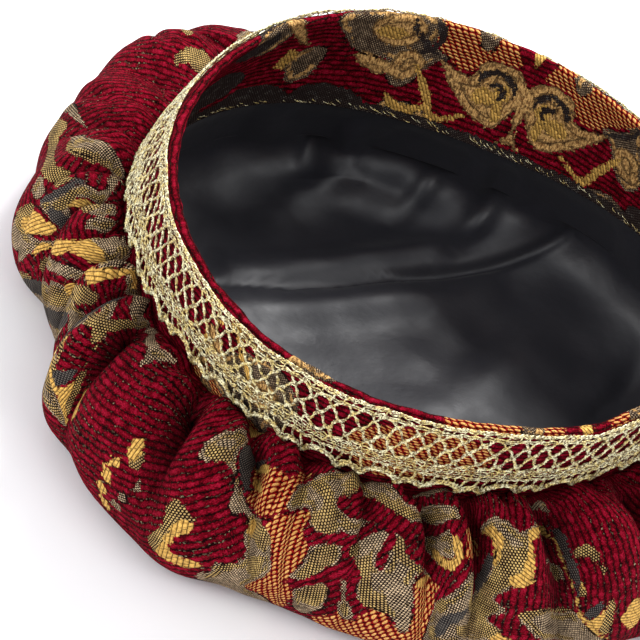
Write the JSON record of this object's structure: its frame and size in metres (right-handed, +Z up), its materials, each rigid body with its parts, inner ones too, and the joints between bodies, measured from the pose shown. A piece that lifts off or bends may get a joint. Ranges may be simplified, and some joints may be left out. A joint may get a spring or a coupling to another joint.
{
  "type": "gathered brocade tudor bonnet",
  "caption": "Soft flat bonnet with a full gathered brocade crown, a folded head band edged with pierced metal lace and a black satin lining, lying upside down.",
  "frame": {"origin": "on the flat underside of the resting crown, under the middle of the head opening", "axes": "+Z up out of the head opening, +Y away from the side that the picture shows nearest, +X to its right"},
  "size_m": [0.275, 0.2633, 0.09],
  "materials": {
    "crown_brocade": "ribbed red chenille with gold and olive-grey woven scrolls",
    "band_brocade": "ribbed red chenille with gold and tan woven scrolls",
    "gold_lace": "pale gold metal thread bobbin lace",
    "black_satin": "satin"
  },
  "bodies": {
    "root": {"crown": "crown_brocade", "band": "band_brocade", "lace_trim": "gold_lace", "lining": "black_satin"}
  },
  "joints": []
}
